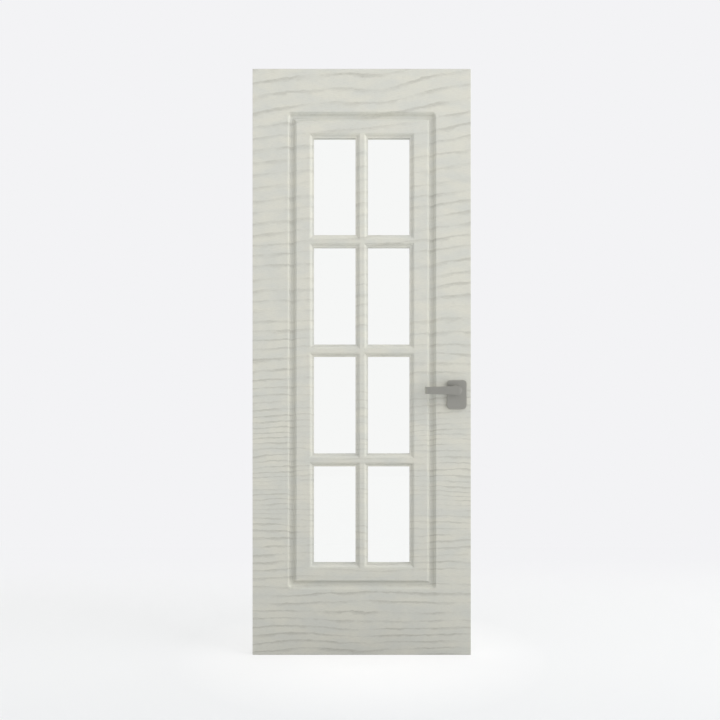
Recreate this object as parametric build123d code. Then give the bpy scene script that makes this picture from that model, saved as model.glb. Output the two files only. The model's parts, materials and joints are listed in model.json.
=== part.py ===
"""A glazed interior door leaf: stiles and rails round a sash of two by four panes, with a lever set.

Millimetres. X runs across the leaf to the lock edge, Y from the front face to the back, Z up.
The origin is the middle of the hinge edge. The pieces are drawn with Z measured from the leaf's
bottom end, and main() moves them down by half the leaf's height as it writes them.
"""

from build123d import *

import os
from math import atan, degrees

# Leaf
leaf_width = 760
leaf_height = 2040
leaf_thickness = 40
edge_bevel = 1.2

# Moulded groove ring, measured to its outer edge
stile_face = 121
top_rail_face = 151
bottom_rail_face = 228
groove_width = 32
groove_depth = 12
groove_quirk = 2
groove_flat = 3

# Sash: flat band, moulding round each pane, glazing bars
sash_stile_flat = 44.5
sash_rail_flat = 42
bar_flat = 13.5
moulding_width = 15
moulding_quirk = 1
moulding_fillet = 2
moulding_drop = 7
pane_columns = 2
pane_rows = 4

# Glass and its rebate
glass_thickness = 4
glass_gap = 1

# Lever set
backset = 50
lever_height = 922
plate_width = 68
plate_height = 101
plate_thickness = 9
plate_drop = 16
plate_corner = 13
plate_bevel = 2
boss_diameter = 34
boss_thickness = 5
neck_diameter = 20
neck_bore = 21
neck_seat = 6
lever_reach = 111
lever_hub_height = 30
lever_tip_height = 23.5
lever_bar = 10
lever_leg = 30
lever_stand_off = 58
lever_face_gap = 20
inner_bend = 3
tip_face_gap = 18
spindle_side = 8
spindle_length = 120
spindle_bore = 14

# Latch
case_depth = 75
case_height = 90
case_thickness = 15
forend_width = 20
forend_height = 150
forend_thickness = 3
bolt_width = 12
bolt_height = 25
latch_gap = 1

# Hinge seats in the hinge edge
hinge_length = 100
hinge_width = 32
hinge_seat_depth = 3
hinge_heights = (225, 1415, 1815)
hinge_hole_spacing = 70
hinge_hole_row_gap = 16
pilot_diameter = 3
pilot_depth = 30

# Places that follow from the sizes above
half_thickness = leaf_thickness / 2
sash_left = stile_face + groove_width / 2
sash_right = leaf_width - sash_left
sash_bottom = bottom_rail_face + groove_width / 2
sash_top = leaf_height - top_rail_face - groove_width / 2
stile_border = groove_width / 2 + sash_stile_flat + moulding_width
rail_border = groove_width / 2 + sash_rail_flat + moulding_width
bar_width = bar_flat + 2 * moulding_width
field_left = sash_left + stile_border
field_right = sash_right - stile_border
field_bottom = sash_bottom + rail_border
field_top = sash_top - rail_border
pane_width = (field_right - field_left - (pane_columns - 1) * bar_width) / pane_columns
pane_height = (field_top - field_bottom - (pane_rows - 1) * bar_width) / pane_rows
glass_front = -glass_thickness / 2
glass_back = glass_thickness / 2
lever_x = leaf_width - backset
far = 2 * leaf_height


def box_between(low, high):
    """A box from its lowest to its highest corner."""
    size = [b - a for a, b in zip(low, high)]
    middle = [(a + b) / 2 for a, b in zip(low, high)]
    return Pos(*middle) * Box(*size)


def plate_prism(outline):
    """A prism of an outline drawn in X and Z, through the whole thickness of the leaf."""
    face = Plane.XZ * outline
    return extrude(face, amount=leaf_thickness, both=True)


def rectangle_between(x_low, z_low, x_high, z_high):
    """A rectangle drawn in X and Z."""
    centre = Pos((x_low + x_high) / 2, (z_low + z_high) / 2)
    return centre * Rectangle(x_high - x_low, z_high - z_low)


def ogee(start, side, lift, run, drop):
    """Two equal arcs, a cove and then a nose, from the bottom of a moulding to its top.

    side is 1 where it goes towards +X and -1 towards -X. lift is 1 where it rises
    towards the back face and -1 where it rises towards the front face.
    """
    turn = 2 * degrees(atan(drop / run))
    radius = (run**2 + drop**2) / (4 * drop)
    cove = JernArc(start, (side, 0), radius, side * lift * turn)
    nose = JernArc(cove @ 1, cove % 1, radius, -side * lift * turn)
    return [cove, nose]


def groove_curve(joint, side):
    """The moulded half of the groove's section, from the joint in its middle up to the face.

    It runs along the groove's flat, then up an ogee, and stops under a square quirk.
    side is 1 where the moulding leans outwards and -1 where it leans in.
    """
    run = groove_width / 2 - groove_flat / 2
    floor = half_thickness - groove_depth
    flat = Line((joint, floor), (joint + side * groove_flat / 2, floor))
    return [flat] + ogee(flat @ 1, side, 1, run, groove_depth - groove_quirk)


def sash_quarter(half_size):
    """A quarter of the section of the sash, whose edge is the inner half of the groove."""
    curve = groove_curve(half_size, -1)
    face_point = (curve[-1] @ 1).X
    rim = Polyline(
        curve[-1] @ 1,
        (face_point, half_thickness),
        (0, half_thickness),
        (0, 0),
        (half_size, 0),
        curve[0] @ 0,
    )
    return make_face(Curve() + curve + [rim])


def groove_strip():
    """Section of what the outer half of the groove takes away, drawn leaning towards -X."""
    curve = groove_curve(0, 1)
    above = 2 * half_thickness
    rim = Polyline(curve[-1] @ 1, (groove_width / 2, above), (0, above), curve[0] @ 0)
    return mirror(make_face(Curve() + curve + [rim]), about=Plane.YZ)


def whole_section(quarter):
    """The quarter section mirrored to both sides and both faces."""
    half = quarter + mirror(quarter, about=Plane.YZ)
    return half + mirror(half, about=Plane.XZ)


def crossed_prisms(section_across, section_up):
    """What two prisms share: one section runs up the leaf, the other across it.

    Where the two meet, equal mouldings cross in exact mitres.
    """
    upright = extrude(section_across, amount=far / 2, both=True)
    level = Plane(origin=(0, 0, 0), x_dir=(0, 0, 1), z_dir=(-1, 0, 0)) * section_up
    return upright & extrude(level, amount=far / 2, both=True)


def sash_block():
    """The whole sash as one block, with the inner half of the groove round it, mitred."""
    across = whole_section(sash_quarter((sash_right - sash_left) / 2))
    up = whole_section(sash_quarter((sash_top - sash_bottom) / 2))
    return Pos(leaf_width / 2, 0, (sash_bottom + sash_top) / 2) * crossed_prisms(across, up)


def ring_cutters():
    """What the sash and the outer half of the groove take out of the leaf's blank.

    The groove's section runs up the hinge side and round the leaf. At each corner it is
    turned about the corner of the sash, as a cutter turns, so the outer edge is round there.
    """
    through = box_between((sash_left, -leaf_thickness, sash_bottom), (sash_right, leaf_thickness, sash_top))
    corners = [
        (sash_left, sash_bottom),
        (sash_left, sash_top),
        (sash_right, sash_top),
        (sash_right, sash_bottom),
    ]
    strip = groove_strip()
    turned = revolve(strip, axis=Axis.Y, revolution_arc=90)
    back = []
    for number, (x, z) in enumerate(corners):
        next_x, next_z = corners[(number + 1) % 4]
        length = abs(next_x - x) + abs(next_z - z)
        run = extrude(strip, amount=length) + Pos(0, 0, length) * turned
        back.append(Pos(x, 0, z) * Rot(0, 90 * number, 0) * run)
    front = [mirror(run, about=Plane.XZ) for run in back]
    return [through] + back + front


def pane_half_section(half_size):
    """Half the section of the hole in front of a pane.

    From the glass it has a plain reveal, a small flat, an ogee and a square quirk.
    """
    flat_level = -half_thickness + moulding_drop
    flat_end = half_size + moulding_fillet
    run = moulding_width - moulding_fillet
    curve = ogee((flat_end, flat_level), 1, -1, run, moulding_drop - moulding_quirk)
    outer = half_size + moulding_width
    rim = Polyline(
        curve[-1] @ 1,
        (outer, -2 * half_thickness),
        (0, -2 * half_thickness),
        (0, glass_front),
        (half_size, glass_front),
        (half_size, flat_level),
        (flat_end, flat_level),
    )
    return make_face(Curve() + curve + [rim])


def pane_opening():
    """The moulded hole in front of a pane, centred on the pane."""
    across = pane_half_section(pane_width / 2)
    up = pane_half_section(pane_height / 2)
    return crossed_prisms(
        across + mirror(across, about=Plane.YZ),
        up + mirror(up, about=Plane.YZ),
    )


def pane_centre(column, row):
    """Middle of a pane, in X and Z."""
    x = field_left + pane_width / 2 + column * (pane_width + bar_width)
    z = field_bottom + pane_height / 2 + row * (pane_height + bar_width)
    return x, z


def moulding_strip(column, row, side):
    """Outline of the mitred moulding on one side of a pane, in X and Z."""
    x, z = pane_centre(column, row)
    a, b = pane_width / 2, pane_height / 2
    m = moulding_width
    corners = {
        "left": [(-a, -b), (-a, b), (-a - m, b + m), (-a - m, -b - m)],
        "right": [(a, -b), (a, b), (a + m, b + m), (a + m, -b - m)],
        "low": [(-a, -b), (a, -b), (a + m, -b - m), (-a - m, -b - m)],
        "high": [(-a, b), (a, b), (a + m, b + m), (-a - m, b + m)],
    }
    return Pos(x, z) * Polygon(*corners[side], align=None)


def leaf_frame():
    """Stiles and rails, cut from one moulded blank so that their joints are exact."""
    blank = box_between((0, -half_thickness, 0), (leaf_width, half_thickness, leaf_height))
    blank = chamfer(blank.edges(), edge_bevel) - ring_cutters()
    right_face = leaf_width - stile_face
    rail_low = bottom_rail_face
    rail_high = leaf_height - top_rail_face
    hinge_outline = Polygon(
        (0, 0), (stile_face, 0), (stile_face, rail_low), (sash_left, sash_bottom),
        (sash_left, sash_top), (stile_face, rail_high), (stile_face, leaf_height), (0, leaf_height),
        align=None,
    )
    lock_outline = Pos(leaf_width, 0) * mirror(hinge_outline, about=Plane.YZ)
    low_outline = Polygon(
        (stile_face, 0), (right_face, 0), (right_face, rail_low),
        (sash_right, sash_bottom), (sash_left, sash_bottom), (stile_face, rail_low),
        align=None,
    )
    high_outline = Polygon(
        (stile_face, leaf_height), (right_face, leaf_height), (right_face, rail_high),
        (sash_right, sash_top), (sash_left, sash_top), (stile_face, rail_high),
        align=None,
    )
    return {
        "hinge_stile": (blank & plate_prism(hinge_outline)) - hinge_seats(),
        "lock_stile": (blank & plate_prism(lock_outline)) - latch_cut(),
        "bottom_rail": blank & plate_prism(low_outline),
        "top_rail": blank & plate_prism(high_outline),
    }


def hinge_seats():
    """Three seats for butt hinges in the hinge edge, open to the back face, each with four pilot holes."""
    seat = box_between(
        (-1, half_thickness - hinge_width, -hinge_length / 2),
        (hinge_seat_depth, half_thickness + 1, hinge_length / 2),
    )
    pilots = []
    middle_y = half_thickness - hinge_width / 2
    for y_side in (-1, 1):
        for z_side in (-1, 1):
            place = Pos(0, middle_y + y_side * hinge_hole_row_gap / 2, z_side * hinge_hole_spacing / 2)
            pilots.append(place * Rot(0, 90, 0) * Cylinder(pilot_diameter / 2, 2 * pilot_depth))
    cutter = seat + pilots
    return [Pos(0, 0, z) * cutter for z in hinge_heights]


def latch_cut():
    """The mortise for the latch, the seat for its forend, and the hole for the lever's neck."""
    mortise = Pos(*latch_middle(case_depth + latch_gap)) * Box(
        case_depth + latch_gap + 1, case_thickness + 2 * latch_gap, case_height + 2 * latch_gap
    )
    seat = forend_solid()
    neck_hole = Pos(lever_x, 0, lever_height) * Rot(90, 0, 0) * Cylinder(neck_bore / 2, 2 * leaf_thickness)
    return [mortise, seat, neck_hole]


def latch_middle(depth):
    """Middle of a block of this depth that lies behind the forend."""
    return leaf_width - forend_thickness - depth / 2, 0, lever_height


def forend_solid():
    """The forend: a thin strip with round ends, flush with the lock edge."""
    outline = SlotOverall(forend_height, forend_width)
    plane = Plane(origin=(leaf_width - forend_thickness, 0, lever_height), x_dir=(0, 0, 1), z_dir=(1, 0, 0))
    return extrude(plane * outline, amount=forend_thickness)


def sash_members():
    """The sash, cut from one moulded block into stiles, rails and glazing bars."""
    block = sash_block()
    opening = pane_opening()
    rebate = Box(
        pane_width + 2 * moulding_width,
        half_thickness - glass_front + 1,
        pane_height + 2 * moulding_width,
        align=(Align.CENTER, Align.MIN, Align.CENTER),
    )
    holes = []
    for column in range(pane_columns):
        for row in range(pane_rows):
            x, z = pane_centre(column, row)
            holes.append(Pos(x, 0, z) * opening)
            holes.append(Pos(x, glass_front, z) * rebate)
    block -= holes
    last = pane_rows - 1
    core_left = field_left - moulding_width
    core_right = field_right + moulding_width
    core_low = field_bottom - moulding_width
    core_high = field_top + moulding_width
    middle = leaf_width / 2
    outlines = {
        "sash_stile_hinge_side": rectangle_between(sash_left, sash_bottom, core_left, sash_top)
        + [moulding_strip(0, row, "left") for row in range(pane_rows)],
        "sash_stile_lock_side": rectangle_between(core_right, sash_bottom, sash_right, sash_top)
        + [moulding_strip(1, row, "right") for row in range(pane_rows)],
        "sash_rail_bottom": rectangle_between(core_left, sash_bottom, core_right, core_low)
        + [moulding_strip(column, 0, "low") for column in range(pane_columns)],
        "sash_rail_top": rectangle_between(core_left, core_high, core_right, sash_top)
        + [moulding_strip(column, last, "high") for column in range(pane_columns)],
        "upright_glazing_bar": rectangle_between(
            middle - bar_flat / 2, core_low, middle + bar_flat / 2, core_high
        )
        + [moulding_strip(0, row, "right") for row in range(pane_rows)]
        + [moulding_strip(1, row, "left") for row in range(pane_rows)],
    }
    for row, name in enumerate(("cross_bar_low", "cross_bar_middle", "cross_bar_high")):
        z = pane_centre(0, row)[1] + (pane_height + bar_width) / 2
        outlines[name] = (
            rectangle_between(core_left, z - bar_flat / 2, core_right, z + bar_flat / 2)
            + [moulding_strip(column, row, "high") for column in range(pane_columns)]
            + [moulding_strip(column, row + 1, "low") for column in range(pane_columns)]
        )
    members = {name: block & plate_prism(outline) for name, outline in outlines.items()}
    return halve_crossings(members, middle)


def halve_crossings(members, middle):
    """Halved joints: at a crossing the upright keeps its front half, the cross bar its back half."""
    for row, name in enumerate(("cross_bar_low", "cross_bar_middle", "cross_bar_high")):
        z = pane_centre(0, row)[1] + (pane_height + bar_width) / 2
        half = bar_flat / 2
        back = box_between((middle - half, 0, z - half), (middle + half, half_thickness + 1, z + half))
        front = mirror(back, about=Plane.XZ)
        members["upright_glazing_bar"] -= back
        members[name] -= front
    return members


def glass_and_beads():
    """A pane of glass and a mitred frame of bead behind it, for each opening."""
    glass = Box(
        pane_width + 2 * (moulding_width - glass_gap),
        glass_thickness,
        pane_height + 2 * (moulding_width - glass_gap),
    )
    block = box_between(
        (-pane_width / 2 - moulding_width, glass_back, -pane_height / 2 - moulding_width),
        (pane_width / 2 + moulding_width, half_thickness, pane_height / 2 + moulding_width),
    )
    bead = block - mirror(pane_opening(), about=Plane.XZ)
    pieces = {}
    for column, side in enumerate(("left", "right")):
        for row in range(pane_rows):
            x, z = pane_centre(column, row)
            pieces[f"glass_{side}_{row + 1}"] = Pos(x, 0, z) * glass
            pieces[f"bead_{side}_{row + 1}"] = Pos(x, 0, z) * bead
    return pieces


def lever_plate():
    """The front plate with its round boss, bored for the lever's neck."""
    outline = RectangleRounded(plate_width, plate_height, plate_corner)
    face = Plane(origin=(lever_x, -half_thickness, lever_height - plate_drop), x_dir=(1, 0, 0), z_dir=(0, -1, 0))
    plate = extrude(face * outline, amount=plate_thickness)
    plate = chamfer(plate.faces().sort_by(Axis.Y)[0].edges(), plate_bevel)
    boss_length = plate_thickness + boss_thickness
    boss = on_lever_axis(Cylinder(boss_diameter / 2, boss_length), -half_thickness - boss_length / 2)
    bore = on_lever_axis(Cylinder(neck_bore / 2, 4 * boss_length), -half_thickness)
    return plate + boss - bore


def on_lever_axis(solid, y):
    """Lays a solid of revolution on the lever's axis, centred at y."""
    return Pos(lever_x, y, lever_height) * Rot(90, 0, 0) * solid


def front_lever():
    """The front lever: a flat bar bent twice, so that its tip comes back towards the door."""
    outer_y = -half_thickness - lever_stand_off
    inner_y = outer_y + lever_bar
    leg_y = -half_thickness - lever_face_gap
    tip_y = -half_thickness - tip_face_gap
    leg_right = lever_x + lever_leg / 2
    leg_left = lever_x - lever_leg / 2
    tip_left = lever_x - lever_reach
    tip_right = tip_left + lever_bar
    outline = Polygon(
        (leg_right, leg_y), (leg_right, outer_y), (tip_left, outer_y), (tip_left, tip_y),
        (tip_right, tip_y), (tip_right, inner_y), (leg_left, inner_y), (leg_left, leg_y),
        align=None,
    )
    for level, radius in ((outer_y, lever_bar + inner_bend), (inner_y, inner_bend)):
        bends = [corner for corner in outline.vertices() if abs(corner.Y - level) < 0.01]
        outline = fillet(bends, radius)
    bar = extrude(Pos(0, 0, lever_height) * outline, amount=lever_hub_height / 2, both=True)
    hub = Pos(lever_x, lever_height) * Circle(lever_hub_height / 2)
    arm = Polygon(
        (lever_x, lever_height - lever_hub_height / 2),
        (lever_x, lever_height + lever_hub_height / 2),
        (tip_left, lever_height + lever_tip_height / 2),
        (tip_left, lever_height - lever_tip_height / 2),
        align=None,
    )
    front = extrude(Plane.XZ * (hub + arm), amount=4 * leaf_thickness, both=True)
    lever = bar & front
    neck_length = lever_face_gap + neck_seat
    neck = on_lever_axis(Cylinder(neck_diameter / 2, neck_length), leg_y + neck_length / 2)
    return lever + neck - spindle_solid()


def spindle_solid():
    """The square spindle that turns both levers together."""
    return Pos(lever_x, 0, lever_height) * Box(spindle_side, spindle_length, spindle_side)


def latch_parts():
    """The latch case, its bolt and the forend. The bolt lies flush with the forend."""
    case = Pos(*latch_middle(case_depth)) * Box(case_depth, case_thickness, case_height)
    case -= on_lever_axis(Cylinder(spindle_bore / 2, leaf_thickness), 0)
    bolt_length = 40
    bolt_hole = Pos(leaf_width, 0, lever_height) * Box(
        2 * bolt_length + 2 * latch_gap, bolt_width + latch_gap, bolt_height + latch_gap
    )
    bolt = box_between(
        (leaf_width - bolt_length, -bolt_width / 2, lever_height - bolt_height / 2),
        (leaf_width, bolt_width / 2, lever_height + bolt_height / 2),
    )
    return {
        "latch_case": case - bolt_hole,
        "latch_forend": forend_solid() - bolt_hole,
        "latch_bolt": bolt,
    }


def main():
    pieces = {}
    pieces.update(leaf_frame())
    pieces.update(sash_members())
    pieces.update(glass_and_beads())
    plate = lever_plate()
    lever = front_lever()
    pieces["lever_plate_front"] = plate
    pieces["lever_plate_back"] = mirror(plate, about=Plane.XZ)
    pieces["lever_front"] = lever
    pieces["lever_back"] = mirror(lever, about=Plane.XZ)
    pieces["spindle"] = spindle_solid()
    pieces.update(latch_parts())
    os.makedirs("parts", exist_ok=True)
    to_origin = Pos(0, 0, -leaf_height / 2)
    for name, shape in pieces.items():
        export_step(to_origin * shape, f"parts/{name}.step")


main()
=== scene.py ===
# French interior door: a pale wood-grain leaf with a glazed sash and a satin nickel lever set.
import json
import math

import bmesh
import bpy
import numpy as np
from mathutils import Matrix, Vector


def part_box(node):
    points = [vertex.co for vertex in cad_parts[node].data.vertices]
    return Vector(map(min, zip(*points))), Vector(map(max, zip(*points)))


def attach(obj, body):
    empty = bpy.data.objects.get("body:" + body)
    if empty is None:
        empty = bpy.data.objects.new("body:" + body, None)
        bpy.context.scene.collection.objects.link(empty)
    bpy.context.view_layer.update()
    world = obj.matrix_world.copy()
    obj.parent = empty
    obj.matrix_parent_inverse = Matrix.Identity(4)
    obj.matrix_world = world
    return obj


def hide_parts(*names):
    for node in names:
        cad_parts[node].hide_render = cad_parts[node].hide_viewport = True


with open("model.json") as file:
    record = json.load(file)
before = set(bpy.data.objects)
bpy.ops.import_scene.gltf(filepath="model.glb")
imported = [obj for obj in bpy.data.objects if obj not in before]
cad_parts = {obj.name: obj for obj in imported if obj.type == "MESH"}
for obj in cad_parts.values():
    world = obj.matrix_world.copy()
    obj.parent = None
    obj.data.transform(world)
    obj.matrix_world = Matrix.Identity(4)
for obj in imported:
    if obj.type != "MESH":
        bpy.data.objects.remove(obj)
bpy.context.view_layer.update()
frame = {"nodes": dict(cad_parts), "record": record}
nodes = frame["nodes"]
slotOf = {part["node"]: part["material_slot"] for part in frame["record"]["subparts"]}
bodyOf = {name: body for body, names in frame["record"]["behaviour"]["bodies"].items() for name in names}
print("frame loaded:", len(nodes), "nodes")

mm = 0.001  # sizes below are written in millimetres and used in metres


# sRGB hex to linear: c / 12.92 up to 0.04045, and ((c + 0.055) / 1.055) ^ 2.4 above it
def linear(hexColour):
    parts = [int(hexColour[i:i + 2], 16) / 255 for i in (1, 3, 5)]
    return [c / 12.92 if c <= 0.04045 else ((c + 0.055) / 1.055) ** 2.4 for c in parts] + [1.0]


# adds one node: its settings, then its inputs by name or number, each a constant or a (node, output) link
def add(tree, kind, inputs=None, **settings):
    node = tree.nodes.new(kind)
    for name, value in settings.items():
        setattr(node, name, value)
    for name, value in (inputs or {}).items():
        if isinstance(value, tuple) and isinstance(value[0], bpy.types.Node):
            tree.links.new(value[0].outputs[value[1]], node.inputs[name])
        else:
            node.inputs[name].default_value = value
    return node


def newMaterial(name):
    material = bpy.data.materials.new(name)
    material.use_nodes = True
    material.node_tree.nodes.clear()
    return material, material.node_tree


def show(name, data):
    thing = bpy.data.objects.new(name, data)
    bpy.context.scene.collection.objects.link(thing)
    return thing


# the quads of a grid of rows by columns points
def gridFaces(rows, columns):
    index = np.arange(rows * columns).reshape(rows, columns)
    corners = [index[:-1, :-1], index[:-1, 1:], index[1:, 1:], index[1:, :-1]]
    return np.stack(corners, axis=-1).reshape(-1, 4)


def makeMesh(name, points, faces):
    mesh = bpy.data.meshes.new(name)
    mesh.from_pydata(np.asarray(points).reshape(-1, 3).tolist(), [], [list(f) for f in faces])
    mesh.polygons.foreach_set("use_smooth", np.full(len(mesh.polygons), True))
    return mesh


# camera, as the photo was taken: level, square to the leaf, its axis near the middle of the leaf
photo = {
    "size": 720,               # pixels
    "leafLeft": 252.95,        # pixel columns and rows of the leaf's edges
    "leafRight": 470.5,
    "leafTop": 68.7,
    "leafBottom": 654.9,
    "distance": 3400 * mm,     # from the lens to the front face
    "sensor": 36 * mm,
}
leafLow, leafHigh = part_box("hinge_stile")[0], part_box("lock_stile")[1]
pixelUp = (leafHigh.z - leafLow.z) / (photo["leafBottom"] - photo["leafTop"])
pixelAcross = (leafHigh.x - leafLow.x) / (photo["leafRight"] - photo["leafLeft"])
cameraData = bpy.data.cameras.new("photo_camera")
cameraData.sensor_width = photo["sensor"] / mm
cameraData.lens = cameraData.sensor_width * photo["distance"] / (pixelUp * photo["size"])
camera = show("photo_camera", cameraData)
camera.location = (
    leafLow.x + (photo["size"] / 2 - photo["leafLeft"]) * pixelAcross,
    leafLow.y - photo["distance"],
    leafLow.z + (photo["leafBottom"] - photo["size"] / 2) * pixelUp,
)
camera.rotation_euler = (math.radians(90), 0, 0)
bpy.context.scene.camera = camera
print("camera set")

# studio: a pale sweep for floor and backdrop, a wide soft lamp far to the right, a softer one above
studio = {
    # the plain floor colour is painted brighter beside the door than in front of it: painted light
    "floorColour": "#fcfcfc",  # beside the door
    "frontColour": "#f1f3f5",  # and in front of it
    "floorPaper": "#dfe1e3",   # the part of the floor's look that takes the shadow
    "paintedLightAtFoot": "#ffffff",    # the same, close to the door's foot
    "wallColour": "#f3f3f5",
    "floorGlow": 0.6,          # share of the floor's look that is plain colour
    "glassWall": "#f8f8f8",    # the backdrop as seen through a pane
    "nearBounce": "#969694",   # what the floor gives back to the door, close to it
    "farBounce": "#f0f0ee",    # and further off
    "bounceReach": 1500 * mm,
    "doorMiddle": (380 * mm, 0, 0),  # distances on the floor are measured from here
    # painted light: the paper that takes the shadow is painted white at the door's foot
    "footStart": 200 * mm,     # where the brighter paper at the foot begins to fade
    "footEnd": 650 * mm,
    "nearStart": -1300 * mm,   # in front of the leaf, from the front colour to the one beside the door
    "nearEnd": -100 * mm,
    "fadeStart": 500 * mm,     # behind the leaf, where the floor turns into the backdrop
    "fadeEnd": 1700 * mm,
    "ringStart": 2300 * mm,    # the same turn all round the door, out of the photo's sight
    "ringEnd": 4600 * mm,
    "wallBehind": 1850 * mm,
    "sweepRadius": 350 * mm,
    "sweepSteps": 24,
    "halfWidth": 9000 * mm,
    "floorFront": 5200 * mm,
    "wallHeight": 6500 * mm,
    "worldColour": "#ffffff",
    "worldStrength": 0.76,
}
lamps = {
    "side_lamp": {
        "place": (12000 * mm, -3870 * mm, 3070 * mm), "aim": (380 * mm, 0, 0),
        "width": 10700 * mm, "height": 12000 * mm, "watts": 1130, "inMirrors": False,
    },
    "side_sheen": {            # the share of the side lamp that metal mirrors
        "place": (12000 * mm, -3870 * mm, 3070 * mm), "aim": (380 * mm, 0, 0),
        "width": 10700 * mm, "height": 12000 * mm, "watts": 480, "inMirrors": True,
    },
    "top_lamp": {
        "place": (380 * mm, -1500 * mm, 3300 * mm), "aim": (380 * mm, -200 * mm, 0),
        "width": 2600 * mm, "height": 1600 * mm, "watts": 12, "inMirrors": True,
    },
}


# the sweep's section: along the floor, a quarter circle, then up the wall, carried straight across
def sweepMesh():
    r = studio["sweepRadius"]
    turn = np.linspace(0, np.pi / 2, studio["sweepSteps"])
    bend = studio["wallBehind"] - r + r * np.sin(turn)
    y = np.concatenate([[-studio["floorFront"]], bend, [studio["wallBehind"]]])
    z = np.concatenate([[0], r - r * np.cos(turn), [studio["wallHeight"]]]) + leafLow.z
    x = np.array([studio["halfWidth"], -studio["halfWidth"]])  # in this order the paper faces the door
    grid = np.stack(np.broadcast_arrays(x[:, None], y[None, :], z[None, :]), axis=-1)
    return makeMesh("studio_sweep", grid, gridFaces(2, len(y)))


# matt paper: plain colour to the camera and through glass, a duller one to light that bounces off it
def studioMaterial():
    material, tree = newMaterial("matt studio paper")
    ray = add(tree, "ShaderNodeLightPath")
    place = add(tree, "ShaderNodeTexCoord")
    axes = add(tree, "ShaderNodeSeparateXYZ", {0: (place, "Object")})
    ground = add(tree, "ShaderNodeCombineXYZ", {0: (axes, "X"), 1: (axes, "Y")})
    away = add(tree, "ShaderNodeVectorMath", {0: (ground, 0), 1: studio["doorMiddle"]}, operation="DISTANCE")
    behind = add(tree, "ShaderNodeMapRange", {
        "Value": (axes, "Y"), "From Min": studio["fadeStart"], "From Max": studio["fadeEnd"],
    }, interpolation_type="SMOOTHSTEP")
    around = add(tree, "ShaderNodeMapRange", {
        "Value": (away, "Value"), "From Min": studio["ringStart"], "From Max": studio["ringEnd"],
    }, interpolation_type="SMOOTHSTEP")
    fade = add(tree, "ShaderNodeMath", {0: (behind, "Result"), 1: (around, "Result")}, operation="MAXIMUM")
    share = add(tree, "ShaderNodeMapRange", {
        "Value": (fade, 0), "To Min": studio["floorGlow"], "To Max": 1.0,
    })
    # painted light: the plain floor colour brightens from the front colour to the one beside the door
    near = add(tree, "ShaderNodeMapRange", {
        "Value": (axes, "Y"), "From Min": studio["nearStart"], "From Max": studio["nearEnd"],
    }, interpolation_type="SMOOTHSTEP")
    floor = add(tree, "ShaderNodeMix", {
        0: (near, "Result"), 6: linear(studio["frontColour"]), 7: linear(studio["floorColour"]),
    }, data_type="RGBA")
    colour = add(tree, "ShaderNodeMix", {
        0: (fade, 0), 6: (floor, 2), 7: linear(studio["wallColour"]),
    }, data_type="RGBA")
    beyond = add(tree, "ShaderNodeMix", {
        0: (ray, "Is Transmission Ray"), 6: (colour, 2), 7: linear(studio["glassWall"]),
    }, data_type="RGBA")
    plain = add(tree, "ShaderNodeEmission", {"Color": (beyond, 2), "Strength": 1.0})
    # painted light at the door's foot: the paper that takes the shadow is white close to it and fades to grey
    # further off
    foot = add(tree, "ShaderNodeMapRange", {
        "Value": (away, "Value"), "From Min": studio["footStart"], "From Max": studio["footEnd"],
    })
    paper = add(tree, "ShaderNodeMix", {
        0: (foot, "Result"), 6: linear(studio["paintedLightAtFoot"]), 7: linear(studio["floorPaper"]),
    }, data_type="RGBA")
    lit = add(tree, "ShaderNodeBsdfDiffuse", {"Color": (paper, 2)})
    seen = add(tree, "ShaderNodeMixShader", {0: (share, "Result"), 1: (lit, "BSDF"), 2: (plain, "Emission")})
    reach = add(tree, "ShaderNodeMapRange", {"Value": (away, "Value"), "From Max": studio["bounceReach"]})
    bounce = add(tree, "ShaderNodeMix", {
        0: (reach, "Result"), 6: linear(studio["nearBounce"]), 7: linear(studio["farBounce"]),
    }, data_type="RGBA")
    dull = add(tree, "ShaderNodeBsdfDiffuse", {"Color": (bounce, 2)})
    mirror = add(tree, "ShaderNodeMath", {
        0: (ray, "Is Camera Ray"), 1: (ray, "Is Glossy Ray"),
    }, operation="MAXIMUM")
    clear = add(tree, "ShaderNodeMath", {
        0: (mirror, 0), 1: (ray, "Is Transmission Ray"),
    }, operation="MAXIMUM")
    both = add(tree, "ShaderNodeMixShader", {0: (clear, 0), 1: (dull, "BSDF"), 2: (seen, "Shader")})
    # seen from its back the paper is clear, so that the door shows from behind too
    side = add(tree, "ShaderNodeNewGeometry")
    clearBack = add(tree, "ShaderNodeBsdfTransparent")
    whole = add(tree, "ShaderNodeMixShader", {
        0: (side, "Backfacing"), 1: (both, "Shader"), 2: (clearBack, "BSDF"),
    })
    add(tree, "ShaderNodeOutputMaterial", {"Surface": (whole, "Shader")})
    return material


sweep = show("studio_sweep", sweepMesh())
sweep.data.materials.append(studioMaterial())

world = bpy.data.worlds.new("studio_world")
bpy.context.scene.world = world
world.use_nodes = True
world.node_tree.nodes.clear()
sky = add(world.node_tree, "ShaderNodeBackground", {
    "Color": linear(studio["worldColour"]), "Strength": studio["worldStrength"],
})
backdrop = add(world.node_tree, "ShaderNodeBackground", {
    "Color": linear(studio["wallColour"]), "Strength": 1.0,
})
ray = add(world.node_tree, "ShaderNodeLightPath")
plainRay = add(world.node_tree, "ShaderNodeMath", {
    0: (ray, "Is Camera Ray"), 1: (ray, "Is Transmission Ray"),
}, operation="MAXIMUM")
seenSky = add(world.node_tree, "ShaderNodeMixShader", {
    0: (plainRay, 0), 1: (sky, "Background"), 2: (backdrop, "Background"),
})
add(world.node_tree, "ShaderNodeOutputWorld", {"Surface": (seenSky, "Shader")})

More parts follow.
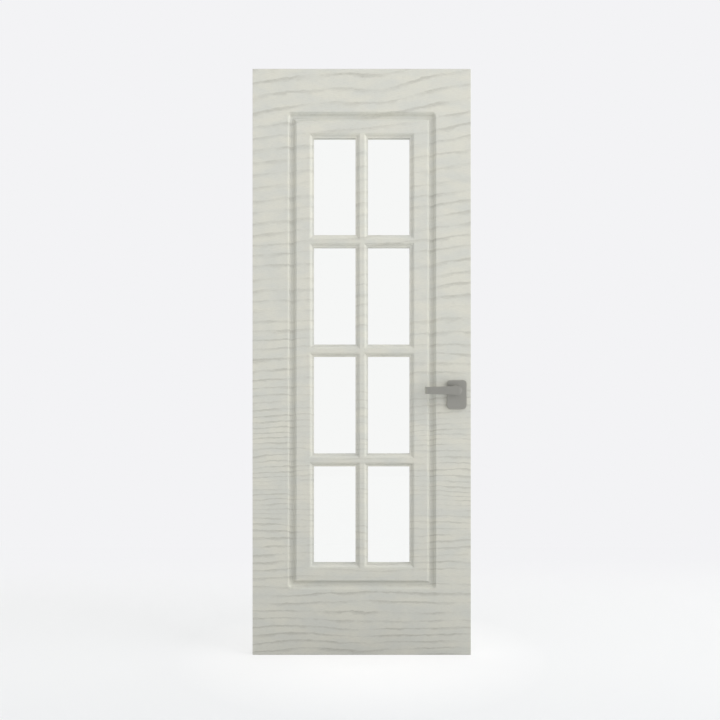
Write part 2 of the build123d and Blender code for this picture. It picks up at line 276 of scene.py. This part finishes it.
for name, lamp in lamps.items():
    data = bpy.data.lights.new(name, "AREA")
    data.shape = "RECTANGLE"
    data.size = lamp["width"]
    data.size_y = lamp["height"]
    data.energy = lamp["watts"]
    thing = show(name, data)
    thing.location = lamp["place"]
    thing.visible_glossy = lamp["inMirrors"]
    aim = np.subtract(lamp["aim"], lamp["place"])
    thing.rotation_euler = (
        math.atan2(math.hypot(aim[0], aim[1]), -aim[2]), 0, math.atan2(aim[1], aim[0]) - math.pi / 2,
    )
bpy.context.scene.view_settings.view_transform = "Standard"
print("studio set")

# leaf: fibreboard faced with a pale film, pressed with ash grain that runs across stiles and rails alike
leafFilm = {
    "colour": "#cfcfc7",       # measured in the middle of the leaf
    "creamTint": "#dfdccc",
    "coolTint": "#c2c6c3",
    "lineColour": "#b3b2a9",   # late wood lines
    "poreColour": "#a9a89f",   # bottoms of the pressed pores
    "roughness": 0.46,
    "poreDepth": 0.2 * mm,
    "lineMix": 0.7,            # how far a line goes towards its own colour, and a pore
    "poreMix": 0.7,
    "tintMix": 0.25,
    # sizes of the patterns, in repeats a metre along the grain and across it
    "swaySize": (1.9, 1.0, 4.2),      # 530 mm by 240 mm
    "rippleSize": (17, 1.0, 30),      # 60 mm by 33 mm
    "strengthSize": (6, 1.0, 16),     # 170 mm by 60 mm
    "dashSize": (48, 1.0, 900),       # 20 mm by 1 mm
    "hairSize": (120, 1.0, 2000),     # 8 mm by 0.5 mm
    "tintSize": (8, 1.0, 20),         # 120 mm by 50 mm
    "leanOfEdge": 0.35,        # rise of the pattern a metre of depth, so that mouldings carry it on
    "thinLine": 0.24,          # thickness of a line, as a share of the gap to the next
    "thickLine": 0.62,
    "lineRise": 0.12,          # share of the gap over which a line comes up to full strength
    "sashMiddle": 380 * mm,    # the sash is pressed less deep, inside this half width of its middle
    "sashHalf": 238 * mm,
    "sashTop": 870 * mm,
    "sashBottom": -790 * mm,
    "sashGrain": 0.55,
    "calmLow": -300 * mm,      # a line's strength goes from lowStrength here
    "calmHigh": 850 * mm,      # to highStrength here
    "lowStrength": 0.75,
    "highStrength": 0.72,
    "grainSpan": 2.2,          # metres
    "lineTotal": 78,
    # metres below the top, and lines passed by then: they are closest beside the low panes
    "linesPassed": ((0.5, 11), (1.0, 24.5), (1.2, 31.5), (1.35, 39), (1.6, 53), (1.75, 59), (2.0, 68)),
    "sway": 46 * mm,           # slow wander of a line from its level
    "ripple": 9 * mm,          # quick wander, down to the teeth on a line's edge
    "climb": 0.13,             # rise to the right at the top, metres a metre; it fades to level lower down
    "dip": 34 * mm,            # the heart figure's sag in the top rail
    "sagMiddle": 420 * mm,
    "sagWidth": 150 * mm,
    "sagLow": 550 * mm,
    "sagHigh": 950 * mm,
    "leanLow": -500 * mm,      # the climb grows from here up to leanHigh
    "leanHigh": 850 * mm,
    "grainTop": 1020 * mm,     # lines are counted down from this height
}


def leafMaterial():
    material, tree = newMaterial("embossed ash film")
    f = leafFilm
    place = add(tree, "ShaderNodeTexCoord")
    axes = add(tree, "ShaderNodeSeparateXYZ", {0: (place, "Object")})
    # the pattern is drawn in x and z; thickness is added to both, so that edges and mouldings carry it on
    along = add(tree, "ShaderNodeMath", {0: (axes, "X"), 1: (axes, "Y")}, operation="ADD")
    up = add(tree, "ShaderNodeMath", {
        0: (axes, "Y"), 1: f["leanOfEdge"], 2: (axes, "Z"),
    }, operation="MULTIPLY_ADD")
    board = add(tree, "ShaderNodeCombineXYZ", {0: (along, 0), 2: (up, 0)})
    slow = add(tree, "ShaderNodeMapping", {"Vector": (board, 0), "Scale": f["swaySize"]})
    swayNoise = add(tree, "ShaderNodeTexNoise", {"Vector": (slow, 0), "Scale": 1.0, "Detail": 1.5})
    sway = add(tree, "ShaderNodeMapRange", {
        "Value": (swayNoise, 0), "From Min": 0.2, "From Max": 0.8,
        "To Min": -f["sway"] / 2, "To Max": f["sway"] / 2,
    })
    quick = add(tree, "ShaderNodeMapping", {"Vector": (board, 0), "Scale": f["rippleSize"]})
    rippleNoise = add(tree, "ShaderNodeTexNoise", {
        "Vector": (quick, 0), "Scale": 1.0, "Detail": 5.0, "Roughness": 0.62,
    })
    ripple = add(tree, "ShaderNodeMapRange", {
        "Value": (rippleNoise, 0), "From Min": 0.2, "From Max": 0.8,
        "To Min": -f["ripple"] / 2, "To Max": f["ripple"] / 2,
    })
    # sag: a bell across the width, exp(-((x - middle) / width)^2), faded in from sagLow to sagHigh
    off = add(tree, "ShaderNodeMath", {
        0: (along, 0), 1: 1 / f["sagWidth"], 2: -f["sagMiddle"] / f["sagWidth"],
    }, operation="MULTIPLY_ADD")
    square = add(tree, "ShaderNodeMath", {0: (off, 0), 1: (off, 0)}, operation="MULTIPLY")
    bell = add(tree, "ShaderNodeMath", {0: 1 / math.e, 1: (square, 0)}, operation="POWER")
    high = add(tree, "ShaderNodeMapRange", {
        "Value": (up, 0), "From Min": f["sagLow"], "From Max": f["sagHigh"], "To Max": f["dip"],
    }, interpolation_type="SMOOTHSTEP")
    sag = add(tree, "ShaderNodeMath", {
        0: (bell, 0), 1: (high, "Result"), 2: (up, 0),
    }, operation="MULTIPLY_ADD")
    moved = add(tree, "ShaderNodeMath", {0: (sag, 0), 1: (sway, "Result")}, operation="ADD")
    moved = add(tree, "ShaderNodeMath", {0: (moved, 0), 1: (ripple, "Result")}, operation="ADD")
    lean = add(tree, "ShaderNodeMapRange", {
        "Value": (up, 0), "From Min": f["leanLow"], "From Max": f["leanHigh"], "To Max": -f["climb"],
    }, interpolation_type="SMOOTHSTEP")
    level = add(tree, "ShaderNodeMath", {
        0: (along, 0), 1: (lean, "Result"), 2: (moved, 0),
    }, operation="MULTIPLY_ADD")
    # rings: t is the depth below the top; the curve gives the count of lines passed on the way down to t
    t = add(tree, "ShaderNodeMath", {0: f["grainTop"], 1: (level, 0)}, operation="SUBTRACT")
    depth = add(tree, "ShaderNodeMath", {0: (t, 0), 1: f["grainSpan"]}, operation="DIVIDE")
    passed = add(tree, "ShaderNodeFloatCurve", {"Value": (depth, 0)})
    passed.mapping.extend = "EXTRAPOLATED"
    curve = passed.mapping.curves[0]
    curve.points[0].location = (0, 0)
    curve.points[1].location = (1, 1)
    for down, lines in f["linesPassed"]:
        curve.points.new(down / f["grainSpan"], lines / f["lineTotal"])
    passed.mapping.update()
    count = add(tree, "ShaderNodeMath", {0: (passed, 0), 1: f["lineTotal"]}, operation="MULTIPLY")
    ring = add(tree, "ShaderNodeMath", {0: (count, 0)}, operation="FRACT")
    thick = add(tree, "ShaderNodeTexNoise", {"Vector": (slow, 0), "Scale": 6.0, "Detail": 2.0})
    width = add(tree, "ShaderNodeMapRange", {
        "Value": (thick, 0), "From Min": 0.35, "From Max": 0.65,
        "To Min": f["thinLine"], "To Max": f["thickLine"],
    })
    edge = add(tree, "ShaderNodeMapRange", {
        "Value": (ring, 0), "From Min": 0.0, "From Max": f["lineRise"],
    }, interpolation_type="SMOOTHSTEP")
    fade = add(tree, "ShaderNodeMapRange", {
        "Value": (ring, 0), "From Min": f["lineRise"], "From Max": (width, "Result"),
        "To Min": 1.0, "To Max": 0.0,
    }, interpolation_type="SMOOTHSTEP")
    stroke = add(tree, "ShaderNodeMath", {0: (edge, "Result"), 1: (fade, "Result")}, operation="MULTIPLY")
    strong = add(tree, "ShaderNodeMapping", {
        "Vector": (board, 0), "Location": (3.1, 0, 1.7), "Scale": f["strengthSize"],
    })
    strength = add(tree, "ShaderNodeTexNoise", {"Vector": (strong, 0), "Scale": 1.0, "Detail": 2.0})
    weight = add(tree, "ShaderNodeMapRange", {
        "Value": (strength, 0), "From Min": 0.38, "From Max": 0.6, "To Min": 0.15, "To Max": 1.1,
    })
    # lines are a little stronger low down
    calm = add(tree, "ShaderNodeMapRange", {
        "Value": (up, 0), "From Min": f["calmLow"], "From Max": f["calmHigh"],
        "To Min": f["lowStrength"], "To Max": f["highStrength"],
    })
    fromMiddle = add(tree, "ShaderNodeMath", {0: (axes, "X"), 1: f["sashMiddle"]}, operation="SUBTRACT")
    aside = add(tree, "ShaderNodeMath", {0: (fromMiddle, 0)}, operation="ABSOLUTE")
    outside = add(tree, "ShaderNodeMath", {0: (aside, 0), 1: f["sashHalf"]}, operation="GREATER_THAN")
    above = add(tree, "ShaderNodeMath", {0: (axes, "Z"), 1: f["sashTop"]}, operation="GREATER_THAN")
    below = add(tree, "ShaderNodeMath", {0: (axes, "Z"), 1: f["sashBottom"]}, operation="LESS_THAN")
    ends = add(tree, "ShaderNodeMath", {0: (above, 0), 1: (below, 0)}, operation="MAXIMUM")
    border = add(tree, "ShaderNodeMath", {0: (outside, 0), 1: (ends, 0)}, operation="MAXIMUM")
    pressing = add(tree, "ShaderNodeMapRange", {
        "Value": (border, 0), "To Min": f["sashGrain"], "To Max": 1.0,
    })
    calmer = add(tree, "ShaderNodeMath", {0: (calm, "Result"), 1: (pressing, "Result")}, operation="MULTIPLY")
    faint = add(tree, "ShaderNodeMath", {0: (weight, "Result"), 1: (calmer, 0)}, operation="MULTIPLY")
    line = add(tree, "ShaderNodeMapRange", {"Value": (stroke, 0), "To Max": (faint, 0)})
    # pores: short dashes gathered along the lines
    dash = add(tree, "ShaderNodeMapping", {"Vector": (board, 0), "Scale": f["dashSize"]})
    dashNoise = add(tree, "ShaderNodeTexNoise", {
        "Vector": (dash, 0), "Scale": 1.0, "Detail": 2.0, "Roughness": 0.55,
    })
    dashes = add(tree, "ShaderNodeMapRange", {
        "Value": (dashNoise, 0), "From Min": 0.44, "From Max": 0.62,
    }, interpolation_type="SMOOTHSTEP")
    # finer pores between them
    hair = add(tree, "ShaderNodeMapping", {"Vector": (board, 0), "Scale": f["hairSize"]})
    hairNoise = add(tree, "ShaderNodeTexNoise", {"Vector": (hair, 0), "Scale": 1.0, "Detail": 1.0})
    hairs = add(tree, "ShaderNodeMapRange", {
        "Value": (hairNoise, 0), "From Min": 0.55, "From Max": 0.7, "To Max": 0.32,
    })
    crowd = add(tree, "ShaderNodeMapRange", {"Value": (line, "Result"), "To Min": 0.2, "To Max": 1.0})
    pores = add(tree, "ShaderNodeMath", {
        0: (dashes, "Result"), 1: (crowd, "Result"), 2: (hairs, "Result"),
    }, operation="MULTIPLY_ADD", use_clamp=True)
    # tint: patches between cream and a cooler grey
    spread = add(tree, "ShaderNodeMapping", {"Vector": (board, 0), "Scale": f["tintSize"]})
    patch = add(tree, "ShaderNodeTexNoise", {"Vector": (spread, 0), "Scale": 1.0, "Detail": 3.0})
    tintShare = add(tree, "ShaderNodeMapRange", {"Value": (patch, 0), "From Min": 0.38, "From Max": 0.62})
    tint = add(tree, "ShaderNodeMix", {
        0: (tintShare, "Result"), 6: linear(f["coolTint"]), 7: linear(f["creamTint"]),
    }, data_type="RGBA")
    ground = add(tree, "ShaderNodeMix", {
        0: f["tintMix"], 6: linear(f["colour"]), 7: (tint, 2),
    }, data_type="RGBA")
    lineShare = add(tree, "ShaderNodeMath", {0: (line, "Result"), 1: f["lineMix"]}, operation="MULTIPLY")
    lined = add(tree, "ShaderNodeMix", {
        0: (lineShare, 0), 6: (ground, 2), 7: linear(f["lineColour"]),
    }, data_type="RGBA")
    poreShare = add(tree, "ShaderNodeMath", {0: (pores, 0), 1: f["poreMix"]}, operation="MULTIPLY")
    coloured = add(tree, "ShaderNodeMix", {
        0: (poreShare, 0), 6: (lined, 2), 7: linear(f["poreColour"]),
    }, data_type="RGBA")
    rough = add(tree, "ShaderNodeMapRange", {
        "Value": (pores, 0), "To Min": f["roughness"], "To Max": f["roughness"] + 0.22,
    })
    # height: pores lie deepest, lines a little less deep, and the ground swells slowly
    sunk = add(tree, "ShaderNodeMath", {
        0: (line, "Result"), 1: -f["lineMix"], 2: (patch, 0),
    }, operation="MULTIPLY_ADD")
    pressed = add(tree, "ShaderNodeMath", {0: (pores, 0), 1: -1.0, 2: (sunk, 0)}, operation="MULTIPLY_ADD")
    bump = add(tree, "ShaderNodeBump", {
        "Height": (pressed, 0), "Strength": 0.6, "Distance": f["poreDepth"],
    })
    shader = add(tree, "ShaderNodeBsdfPrincipled", {
        "Base Color": (coloured, 2), "Roughness": (rough, "Result"), "Normal": (bump, 0), "IOR": 1.5,
        "Specular IOR Level": 0.4,
    })
    add(tree, "ShaderNodeOutputMaterial", {"Surface": (shader, "BSDF")})
    return material


# float glass: clear, with a faint green to it and a little dust that dulls it in places
paneGlass = {
    "colour": "#fefffe",
    "ior": 1.52,
    "dustRoughness": 0.012,
}


def glassMaterial():
    material, tree = newMaterial("clear float glass")
    place = add(tree, "ShaderNodeTexCoord")
    dust = add(tree, "ShaderNodeTexNoise", {"Vector": (place, "Object"), "Scale": 7.0, "Detail": 4.0})
    rough = add(tree, "ShaderNodeMapRange", {
        "Value": (dust, 0), "From Min": 0.5, "From Max": 0.8, "To Max": paneGlass["dustRoughness"],
    })
    shader = add(tree, "ShaderNodeBsdfPrincipled", {
        "Base Color": linear(paneGlass["colour"]), "Roughness": (rough, "Result"),
        "Transmission Weight": 1.0, "IOR": paneGlass["ior"],
    })
    # light on its way to the rebates goes straight through
    ray = add(tree, "ShaderNodeLightPath")
    soft = add(tree, "ShaderNodeMath", {
        0: (ray, "Is Shadow Ray"), 1: (ray, "Is Diffuse Ray"),
    }, operation="MAXIMUM")
    straight = add(tree, "ShaderNodeBsdfTransparent", {"Color": linear(paneGlass["colour"])})
    both = add(tree, "ShaderNodeMixShader", {0: (soft, 0), 1: (shader, "BSDF"), 2: (straight, "BSDF")})
    add(tree, "ShaderNodeOutputMaterial", {"Surface": (both, "Shader")})
    return material


# satin nickel: zinc casting, bead blasted, plated and lacquered, so reflections spread softly
satinNickel = {
    "colour": "#a8a7a1",
    "roughness": 0.38,
    "blastDepth": 0.015 * mm,
    "arris": 0.8 * mm,         # rounding that polishing leaves on the edges
}


def nickelMaterial():
    material, tree = newMaterial("satin nickel plate")
    place = add(tree, "ShaderNodeTexCoord")
    blast = add(tree, "ShaderNodeTexNoise", {"Vector": (place, "Object"), "Scale": 2500.0, "Detail": 2.0})
    wear = add(tree, "ShaderNodeTexNoise", {"Vector": (place, "Object"), "Scale": 45.0, "Detail": 4.0})
    rough = add(tree, "ShaderNodeMapRange", {
        "Value": (wear, 0), "From Min": 0.3, "From Max": 0.7,
        "To Min": satinNickel["roughness"] - 0.05, "To Max": satinNickel["roughness"] + 0.07,
    })
    bump = add(tree, "ShaderNodeBump", {
        "Height": (blast, 0), "Strength": 0.5, "Distance": satinNickel["blastDepth"],
    })
    shader = add(tree, "ShaderNodeBsdfPrincipled", {
        "Base Color": linear(satinNickel["colour"]), "Roughness": (rough, "Result"), "Metallic": 1.0,
        "Normal": (bump, 0),
    })
    add(tree, "ShaderNodeOutputMaterial", {"Surface": (shader, "BSDF")})
    return material


# latch steel: sheet ground along its length, nickel plated; the scratches run up the forend
brushedSteel = {
    "colour": "#b3b2ae",
    "roughness": 0.3,
    "scratchDepth": 0.01 * mm,
}


def steelMaterial():
    material, tree = newMaterial("brushed latch steel")
    place = add(tree, "ShaderNodeTexCoord")
    stretch = add(tree, "ShaderNodeMapping", {"Vector": (place, "Object"), "Scale": (4000, 4000, 25)})
    scratch = add(tree, "ShaderNodeTexNoise", {"Vector": (stretch, 0), "Scale": 1.0, "Detail": 3.0})
    rough = add(tree, "ShaderNodeMapRange", {
        "Value": (scratch, 0), "From Min": 0.3, "From Max": 0.7,
        "To Min": brushedSteel["roughness"] - 0.06, "To Max": brushedSteel["roughness"] + 0.12,
    })
    bump = add(tree, "ShaderNodeBump", {
        "Height": (scratch, 0), "Strength": 0.4, "Distance": brushedSteel["scratchDepth"],
    })
    shader = add(tree, "ShaderNodeBsdfPrincipled", {
        "Base Color": linear(brushedSteel["colour"]), "Roughness": (rough, "Result"), "Metallic": 1.0,
        "Normal": (bump, 0),
    })
    add(tree, "ShaderNodeOutputMaterial", {"Surface": (shader, "BSDF")})
    return material


materialOf = {
    "leaf_finish": leafMaterial(),
    "pane_glass": glassMaterial(),
    "lever_metal": nickelMaterial(),
    "latch_steel": steelMaterial(),
}
for name, node in nodes.items():
    node.data.materials.clear()
    node.data.materials.append(materialOf[slotOf[name]])
print("materials set")


# a merged copy of a CAD node, smooth where faces turn less than the angle, with flat faces kept flat
# and, where an arris is given, its edges rounded by that much
def smoothCopy(name, angle=32, arris=0):
    mesh = nodes[name].data.copy()
    mesh.name = name + "_smooth"
    grown = bmesh.new()
    grown.from_mesh(mesh)
    bmesh.ops.remove_doubles(grown, verts=grown.verts, dist=0.01 * mm)
    bmesh.ops.recalc_face_normals(grown, faces=grown.faces)
    if arris:
        bmesh.ops.dissolve_limit(grown, angle_limit=math.radians(1), verts=grown.verts, edges=grown.edges)
    for edge in grown.edges:
        edge.smooth = len(edge.link_faces) == 2 and edge.calc_face_angle() < math.radians(angle)
    for face in grown.faces:
        face.smooth = True
    grown.to_mesh(mesh)
    grown.free()
    piece = show(name + "_smooth", mesh)
    if arris:
        softened = piece.modifiers.new("rounded arrises", "BEVEL")
        softened.width = arris
        softened.segments = 3
        softened.limit_method = "ANGLE"
        softened.angle_limit = math.radians(angle)
    weigh = piece.modifiers.new("flat faces stay flat", "WEIGHTED_NORMAL")
    weigh.keep_sharp = True
    weigh.weight = 100
    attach(piece, bodyOf[name])
    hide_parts(name)
    return piece


woodNames = [name for name in nodes if slotOf[name] == "leaf_finish"]
for name in woodNames:
    smoothCopy(name)
for name in ("lever_front", "lever_back", "lever_plate_front", "lever_plate_back"):
    smoothCopy(name, arris=satinNickel["arris"])
print("smooth copies made")
